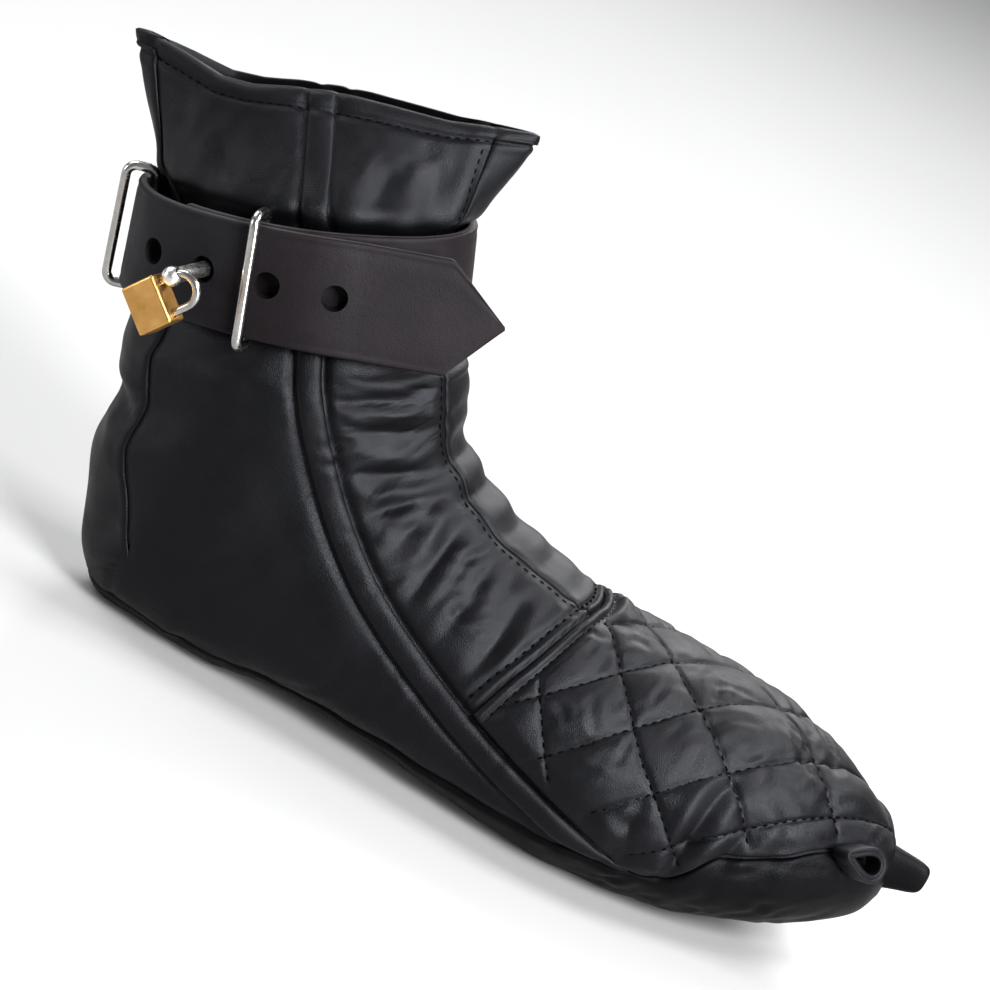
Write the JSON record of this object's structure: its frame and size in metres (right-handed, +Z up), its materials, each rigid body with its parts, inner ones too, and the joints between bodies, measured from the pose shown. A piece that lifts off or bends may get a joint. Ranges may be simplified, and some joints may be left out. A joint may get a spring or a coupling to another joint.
{
  "type": "leather boot",
  "caption": "Soft black leather ankle boot with a quilted toe cap, leather sole, flattened collar, wrapped ankle strap, steel keeper rings and a small brass padlock.",
  "frame": {"origin": "middle of the flat spot under the heel, on the floor", "axes": "+X towards the toe, +Y towards the boot's left-hand side, +Z up"},
  "size_m": [0.3555, 0.1173, 0.2065],
  "materials": {
    "black_leather": "soft black nappa, satin",
    "sole_leather": "smooth black leather, satin",
    "insole_leather": "matt black lining leather",
    "strap_leather": "brownish black harness leather, matt satin",
    "bright_steel": "bright nickel-plated wire",
    "brass": "brushed brass"
  },
  "bodies": {
    "boot": {"upper": "black_leather", "toe_cap": "black_leather", "side_strip_right": "black_leather", "side_strip_left": "black_leather", "instep_strip": "black_leather", "heel_panel": "black_leather", "toe_loop_side": "black_leather", "toe_loop_tip": "black_leather", "sole": "sole_leather", "insole": "insole_leather", "ankle_strap": "strap_leather", "rear_ring": "bright_steel", "front_ring": "bright_steel", "lock_post": "bright_steel"},
    "padlock": {"padlock_body": "brass", "padlock_shackle": "bright_steel"}
  },
  "joints": [
    {"name": "padlock_swing", "type": "hinge", "parent": "boot", "child": "padlock", "pos_m": [-0.06169, -0.05695, 0.12611], "axis": [-0.5519, 0.2395, -0.7987], "range_deg": [-15, 115]}
  ]
}
